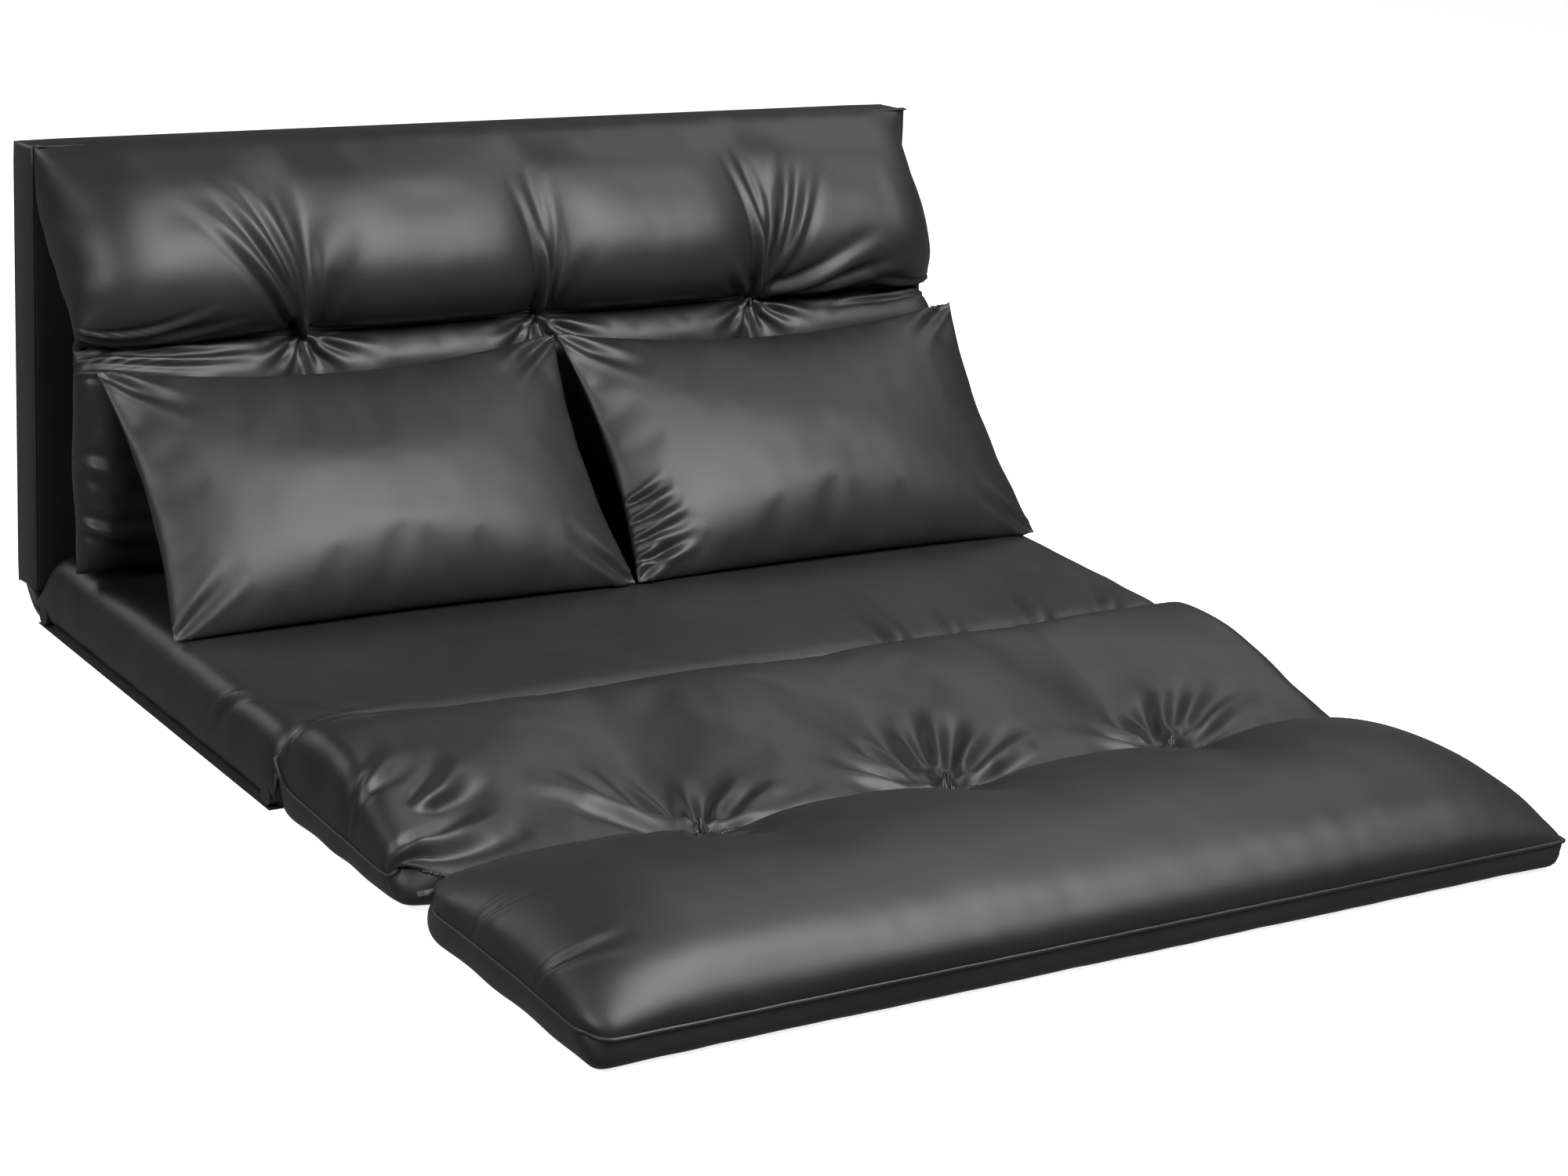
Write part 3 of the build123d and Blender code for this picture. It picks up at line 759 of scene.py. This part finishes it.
class SOFA_OT_foot(bpy.types.Operator):
    """Builds the two stuffed sections of the foot"""

    bl_idname = "sofa.foot"
    bl_label = "Foot"

    def execute(self, context):
        self.inner_section()
        self.end_section()
        return {"FINISHED"}

    def inner_section(self):
        lines = {
            "skin": [(0, 56), (-4, 76), (-22, 91), (-56, 96), (-110, 92), (-162, 80), (-205, 64),
                     (-244, 52), (-274, 38)],
            "tufted": [(0, 56), (-4, 75), (-22, 89), (-52, 92), (-100, 81), (-156, 58), (-215, 42),
                       (-252, 37), (-274, 38)],
            "under": [(0, 56), (-2, 22), (-14, 4), (-60, 1.5), (-150, 1.5), (-240, 3), (-268, 16),
                      (-274, 40)],
            "seam": [(0, 56), (-22, 36), (-70, 28), (-210, 26), (-258, 32), (-274, 40)],
        }
        anchor = (FOOT_INNER_HIGH.y, 0)
        piece, length = cushion(
            "foot_inner_section", lines, anchor, (34, 14), FOOT_TUFTS, 0.06, corners=(0, 56))
        pressed_out(piece, held_points(piece.data, FOOT_TUFTS), -2, -0.006, 15 * MM)
        ruffled(piece.data, length, HALF_WIDTH, 2.9, -1.0)
        subdivide(piece)
        left, middle, right = FOOT_TUFTS
        bottom = length / MM
        folds = [
            *fan(left, bottom, [(-128, 118, 17, 12, 8), (-66, 122, 12, 8, 3), (-20, 110, 10, 8, 0),
                                (34, 100, 11, 8, 0), (88, 70, 12, 9, -3), (138, 48, 13, 9, -4),
                                (192, 26, 12, 6, -4)]),
            *fan(middle, bottom, [(-110, 62, 13, 8, 3), (-66, 98, 14, 10, 0), (-22, 122, 12, 10, 0),
                                  (22, 136, 13, 12, 0), (66, 132, 13, 13, 0), (108, 92, 14, 12, -2),
                                  (160, 58, 14, 10, -4)]),
            *fan(right, bottom, [(-90, 50, 12, 7, 3), (-40, 84, 13, 9, 0), (10, 104, 12, 10, 0),
                                 (64, 106, 13, 12, 0), (118, 100, 13, 11, -2), (168, 70, 13, 9, -5)]),
            ((-545, bottom - 40), (-400, bottom - 86), 17, 12, 12),
            ((-500, bottom - 96), (-420, bottom - 150), 16, 8, 6),
            ((-545, bottom - 130), (-470, bottom - 190), 14, 4, 6),
            ((-540, 30), (-380, 34), 7, 6, 4),
        ]
        crease(piece.data, folds, length, HALF_WIDTH, raised=True)
        rested(piece.data)
        wrapped(piece, "foot_inner")
        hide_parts("foot_inner_cover", "foot_inner_filling")
        piping(piece, length, "foot_inner")
        line = [(3, 40), (-1.5, 46), (-6, 40)]
        flap("foot_hinge_flap", line, ("seat", "foot_inner"), (SEAT_LOW.y, 0))

    def end_section(self):
        lines = {
            "skin": [(0, 42), (-6, 56), (-28, 70), (-70, 84), (-120, 95), (-172, 99), (-228, 95),
                     (-274, 82), (-302, 60), (-313, 42), (-310, 30)],
            "tufted": [(0, 38), (-12, 42), (-38, 52), (-78, 72), (-124, 90), (-172, 98), (-228, 95),
                       (-274, 82), (-302, 60), (-313, 42), (-310, 30)],
            "under": [(0, 40), (-3, 18), (-20, 2), (-70, 0.5), (-200, 0.5), (-290, 0.5), (-309, 4),
                      (-313, 14), (-310, 30)],
            "seam": [(0, 40), (-20, 36), (-150, 36), (-270, 34), (-310, 30)],
        }
        anchor = (FOOT_END_HIGH.y, 0)
        piece, length = cushion(
            "foot_end_section", lines, anchor, (150, 14), FOOT_TUFTS, 0.05, corners=(44, 26), wider=7)
        pressed_out(piece, held_points(piece.data, FOOT_TUFTS, 0.0), 1.6, 0.0, 12 * MM)
        ruffled(piece.data, length, HALF_WIDTH, 3.6)
        subdivide(piece)
        left, middle, right = FOOT_TUFTS
        folds = [
            *fan(left, 0, [(-70, 128, 9, 6, 6), (-118, 66, 12, 4, 3), (30, 80, 10, 4, 0)], up=1),
            *fan(middle, 0, [(-50, 74, 10, 4, 0), (40, 70, 10, 3, 0)], up=1),
            *fan(right, 0, [(-46, 66, 10, 4, 0), (36, 60, 10, 3, 0)], up=1),
            ((-548, 250), (-470, 262), 9, 4, 3),
            ((-548, 130), (-480, 150), 10, 3, 3),
        ]
        crease(piece.data, folds, length, HALF_WIDTH)
        rested(piece.data)
        wrapped(piece, "foot_end")
        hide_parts("foot_end_cover", "foot_end_filling", "foot_tuft_ties")
        piping(piece, length, "foot_end")
        line = [(3, 30), (-1.5, 34), (-6, 30)]
        flap("foot_seam_flap", line, ("foot_inner", "foot_end"), (FOOT_INNER_LOW.y, 0))


class SOFA_OT_pillows(bpy.types.Operator):
    """Builds the two loose knife-edge pillows"""

    bl_idname = "sofa.pillows"
    bl_label = "Pillows"

    def execute(self, context):
        for side in ("left", "right"):
            self.pillow(side)
        return {"FINISHED"}

    def pillow(self, side):
        low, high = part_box(f"pillow_{side}_cover")
        half_width = (high.x - low.x) / 2 + PILLOW_CORNER_REACH
        piece = sewn_panels(f"pillow_{side}", 110, 62)
        mesh = piece.data
        u, v, outer = values(mesh, "across"), values(mesh, "along"), values(mesh, "outer") > 0.5
        w = 1 - 2 * v
        drawn_top, drawn_bottom, drawn_side = 25 * MM, 5 * MM, 17 * MM
        x = u * (half_width - drawn_side * (1 - w**2))
        y = w * (PILLOW_HALF_HEIGHT - np.where(w > 0, drawn_top, drawn_bottom) * (1 - u**2))
        sunk = w + 0.32 * (1 - w**2)
        crown = PILLOW_HALF_THICKNESS * (1 - np.abs(u) ** 2.6) ** 0.62 * (1 - np.abs(sunk) ** 2.4) ** 0.64
        z = np.where(outer, crown, -crown)
        set_places(mesh, np.column_stack([x, y, z]))
        sew_shut(mesh)
        pressed_out(piece, held_points(piece.data, rim=0.006), 2, -0.006, 14 * MM)
        length = 2 * PILLOW_HALF_HEIGHT
        seed = 11.5 if side == "left" else 17.2
        ruffled(piece.data, length, half_width, seed, 0.9)
        subdivide(piece)
        folds = self.folds(side, half_width / MM, length / MM)
        crease(piece.data, folds, length, half_width)
        middle = Matrix.Translation((low + high) / 2)
        piece.data.transform(middle @ Matrix.Rotation(PILLOW_SLOPE, 4, "X"))
        wrapped(piece, f"pillow_{side}")
        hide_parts(f"pillow_{side}_cover", f"pillow_{side}_filling")

    def folds(self, side, half, length):
        """Creases that run in from the corners, and a bunch beside the lower corner of the right pillow."""
        folds = []
        for sign in (-1, 1):
            folds.append(((sign * half, 0), (sign * (half - 84), 52), 12, 4, 3))
            folds.append(((sign * half, length), (sign * (half - 78), length - 60), 12, 4, -3))
        if side == "right":
            for step in range(4):
                start = (-half + 2, length - 24 - 22 * step)
                folds.append((start, (-half + 78 - 8 * step, start[1] - 14), 7, 5, 2))
        return folds


class SOFA_OT_back(bpy.types.Operator):
    """Builds the thin upright back and the skin that joins it to the seat"""

    bl_idname = "sofa.back"
    bl_label = "Back"

    def execute(self, context):
        size = (2 * HALF_WIDTH, BACK_THICKNESS, BACK_HEIGHT)
        bm = bmesh.new()
        bmesh.ops.create_cube(bm, size=1.0)
        bmesh.ops.scale(bm, vec=size, verts=bm.verts[:])
        bmesh.ops.bevel(bm, geom=bm.edges[:], offset=5 * MM, segments=3, affect="EDGES",
                        profile=0.5, material=-1)
        long = [e for e in bm.edges if abs(e.verts[0].co.x - e.verts[1].co.x) > 0.5]
        bmesh.ops.subdivide_edges(bm, edges=long, cuts=70, use_grid_fill=True)
        tall = [e for e in bm.edges if abs(e.verts[0].co.z - e.verts[1].co.z) > 0.3]
        bmesh.ops.subdivide_edges(bm, edges=tall, cuts=30, use_grid_fill=True)
        for v in bm.verts:
            edge = min(HALF_WIDTH - abs(v.co.x), BACK_HEIGHT / 2 - abs(v.co.z))
            wave = noise.noise(Vector((v.co.x * 9, v.co.z * 9, 21.0))) * 1.2 * MM
            if v.co.y > BACK_THICKNESS / 2 - 1 * MM:
                v.co.y += (1.6 * MM + wave) * min(edge / (40 * MM), 1)
        lean = Matrix.Rotation(-LEAN_ANGLE, 4, "X")
        foot = HINGE + Vector((0, BACK_MIDDLE, BACK_LIFT))
        bmesh.ops.translate(bm, verts=bm.verts[:], vec=(0, foot.y, foot.z + BACK_HEIGHT / 2))
        bmesh.ops.rotate(bm, cent=HINGE, matrix=lean, verts=bm.verts[:])
        mesh = bpy.data.meshes.new("back_panel")
        bm.to_mesh(mesh)
        bm.free()
        piece = bpy.data.objects.new("back_panel", mesh)
        context.scene.collection.objects.link(piece)
        wrapped(piece, "back")
        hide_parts("back_cover", "back_front_foam", "back_rear_foam")
        for label, side in (("front", -1), ("rear", 1)):
            self.edge_piping(label, side, foot, lean)
        seat, rear = SEAT_HIGH.y / MM, (HINGE.y + BACK_REAR) / MM
        gusset = [(seat - 6, 4), (seat + 18, 10), (rear - 14, 24), (rear - 3, 38)]
        flap("rear_gusset", gusset, ("seat", "back"), insets=(5, 5))
        return {"FINISHED"}

    def edge_piping(self, label, side, foot, lean):
        """Piping round one face of the back."""
        inset = 2.2 * MM
        face = foot.y + side * (BACK_THICKNESS / 2 - inset)
        a, b = HALF_WIDTH - inset, BACK_HEIGHT - 2 * inset
        corners = [(-a, inset), (a, inset), (a, inset + b), (-a, inset + b)]
        line = []
        for (x0, z0), (x1, z1) in zip(corners, corners[1:] + corners[:1]):
            for t in np.linspace(0, 1, 24, endpoint=False):
                line.append(Vector((x0 + (x1 - x0) * t, face, foot.z + z0 + (z1 - z0) * t)))
        turned = [HINGE + lean @ (p - HINGE) for p in line]
        swept_cord(f"back_{label}_piping", np.array(turned), cushion_props().piping_radius, "back")


class SOFA_OT_inner_finishes(bpy.types.Operator):
    """Gives the frames, hinges, webbing and base cloth their finishes"""

    bl_idname = "sofa.inner_finishes"
    bl_label = "Inner Finishes"

    def execute(self, context):
        coat = steel_material("black_powder_coat", (0.01, 0.01, 0.01), (0.03, 0.03, 0.03), 0.0, 0.45)
        zinc = steel_material("zinc_plated_steel", (0.42, 0.43, 0.44), (0.62, 0.62, 0.6), 1.0, 0.35)
        plug = plain_fibre_material("plug_plastic", (0.01, 0.01, 0.01), (0.03, 0.03, 0.03), 900, 0.55)
        belt = plain_fibre_material("woven_belt", (0.015, 0.015, 0.015), (0.05, 0.05, 0.05), 700, 0.85)
        cloth = base_cloth_material()
        finishes = {
            coat: ["seat_frame", "back_frame"],
            zinc: ["seat_hinge_plate_left", "seat_hinge_plate_right", "back_hinge_plate_left",
                   "back_hinge_plate_right", "hinge_rivets", "ratchet_springs"],
            plug: ["seat_tube_plugs", "back_tube_plugs"],
            belt: ["seat_webbing", "back_webbing"],
            cloth: ["seat_base_cloth"],
        }
        for material, nodes in finishes.items():
            for node in nodes:
                for slot in frame["nodes"][node].material_slots:
                    slot.material = material
        return {"FINISHED"}


class SOFA_OT_stage(bpy.types.Operator):
    """Sets the floor, the lights and the camera"""

    bl_idname = "sofa.stage"
    bl_label = "Stage"

    def execute(self, context):
        self.camera(context)
        self.floor(context)
        self.lights(context)
        return {"FINISHED"}

    def camera(self, context):
        azimuth, elevation, roll = (math.radians(a) for a in (-35.744, 18.735, 5.519))
        target, distance = Vector((0.082, -0.1815, 0.118)), 3.741
        back = Vector((math.sin(azimuth) * math.cos(elevation), -math.cos(azimuth) * math.cos(elevation),
                       math.sin(elevation)))
        right = Vector((math.cos(azimuth), math.sin(azimuth), 0))
        up = back.cross(right)
        turn = Matrix((right, up, back)).transposed() @ Matrix.Rotation(roll, 3, "Z")
        lens = bpy.data.cameras.new("studio_camera")
        lens.lens, lens.sensor_width = 82.5, 36.0
        camera = bpy.data.objects.new("studio_camera", lens)
        camera.matrix_world = Matrix.Translation(target + back * distance) @ turn.to_4x4()
        context.scene.collection.objects.link(camera)
        context.scene.camera = camera

    def floor(self, context):
        bm = bmesh.new()
        bmesh.ops.create_grid(bm, x_segments=8, y_segments=8, size=20.0)
        mesh = bpy.data.meshes.new("studio_floor")
        bm.to_mesh(mesh)
        bm.free()
        floor = bpy.data.objects.new("studio_floor", mesh)
        floor.data.transform(Matrix.Translation((0, 0, -0.5 * MM)))
        context.scene.collection.objects.link(floor)
        material, tree, shader, add = new_material("studio_paper")
        paper = add("ShaderNodeTexNoise", Scale=60.0, Detail=4.0)
        place = add("ShaderNodeTexCoord")
        tree.links.new(place.outputs["Object"], paper.inputs["Vector"])
        tone = add("ShaderNodeValToRGB")
        colour = leather_props().floor_colour
        tone.color_ramp.elements[0].color = [c * 0.985 for c in colour] + [1]
        tone.color_ramp.elements[1].color = [*colour, 1]
        tree.links.new(paper.outputs["Fac"], tone.inputs["Fac"])
        tree.links.new(tone.outputs["Color"], shader.inputs["Base Color"])
        shader.inputs["Roughness"].default_value = 0.95
        shader.inputs["Specular IOR Level"].default_value = 0.1
        shader.inputs["Emission Color"].default_value = (1, 1, 1, 1)
        shader.inputs["Emission Strength"].default_value = 0.85
        floor.data.materials.append(material)
        floor.visible_glossy = False
        floor.visible_diffuse = False

    def lights(self, context):
        for name, place, size, power in (
            ("key_softbox", (0.6, -1.7, 2.55), (2.3, 1.8), 143),
            ("left_fill", (-2.9, -1.0, 2.2), (1.8, 1.2), 56),
            ("rear_fill", (-1.8, 3.2, 2.2), (2.0, 1.4), 30),
            ("top_softbox", (1.9, 1.1, 2.4), (1.8, 1.4), 13),
        ):
            light = bpy.data.lights.new(name, "AREA")
            light.shape = "RECTANGLE"
            light.size, light.size_y = size
            light.energy = power
            lamp = bpy.data.objects.new(name, light)
            aim = Vector((0, 0, 0.15)) - Vector(place)
            lamp.matrix_world = Matrix.Translation(place) @ aim.to_track_quat("-Z", "Y").to_matrix().to_4x4()
            context.scene.collection.objects.link(lamp)
        self.air(context)
        context.scene.view_settings.view_transform = "Standard"

    def air(self, context):
        """A dim room over a lit floor, seen as a pale backdrop."""
        world = bpy.data.worlds.new("studio_air")
        world.use_nodes = True
        tree = world.node_tree
        direction = tree.nodes.new("ShaderNodeTexCoord")
        height = tree.nodes.new("ShaderNodeSeparateXYZ")
        room = tree.nodes.new("ShaderNodeMapRange")
        for name, value in (("From Min", -0.12), ("From Max", 0.1), ("To Min", 0.24), ("To Max", 0.055)):
            room.inputs[name].default_value = value
        seen = tree.nodes.new("ShaderNodeLightPath")
        backdrop = tree.nodes.new("ShaderNodeMix")
        backdrop.inputs[3].default_value = 0.92
        background = tree.nodes["Background"]
        background.inputs["Color"].default_value = (1, 1, 1, 1)
        tree.links.new(direction.outputs["Generated"], height.inputs["Vector"])
        tree.links.new(height.outputs["Z"], room.inputs["Value"])
        tree.links.new(seen.outputs["Is Camera Ray"], backdrop.inputs[0])
        tree.links.new(room.outputs["Result"], backdrop.inputs[2])
        tree.links.new(backdrop.outputs[0], background.inputs["Strength"])
        context.scene.world = world


OPERATORS = (SOFA_OT_stage, SOFA_OT_back, SOFA_OT_head_roll, SOFA_OT_lumbar_pad, SOFA_OT_seat, SOFA_OT_foot,
             SOFA_OT_pillows, SOFA_OT_inner_finishes)


class SOFA_PT_panel(bpy.types.Panel):
    bl_label = "Floor Sofa"
    bl_idname = "SOFA_PT_panel"
    bl_space_type = "VIEW_3D"
    bl_region_type = "UI"
    bl_category = "Floor Sofa"

    def draw(self, context):
        for group in (context.scene.sofa_leather, context.scene.sofa_cushion):
            for name in group.__annotations__:
                self.layout.prop(group, name)
        for operator in OPERATORS:
            self.layout.operator(operator.bl_idname)


CLASSES = (SofaLeatherProps, SofaCushionProps, *OPERATORS, SOFA_PT_panel)


def register():
    for cls in CLASSES:
        bpy.utils.register_class(cls)
    bpy.types.Scene.sofa_leather = bpy.props.PointerProperty(type=SofaLeatherProps)
    bpy.types.Scene.sofa_cushion = bpy.props.PointerProperty(type=SofaCushionProps)


def unregister():
    del bpy.types.Scene.sofa_cushion
    del bpy.types.Scene.sofa_leather
    for cls in reversed(CLASSES):
        bpy.utils.unregister_class(cls)


def main():
    register()
    for operator in OPERATORS:
        family, name = operator.bl_idname.split(".")
        getattr(getattr(bpy.ops, family), name)()


if __name__ == "__main__":
    main()
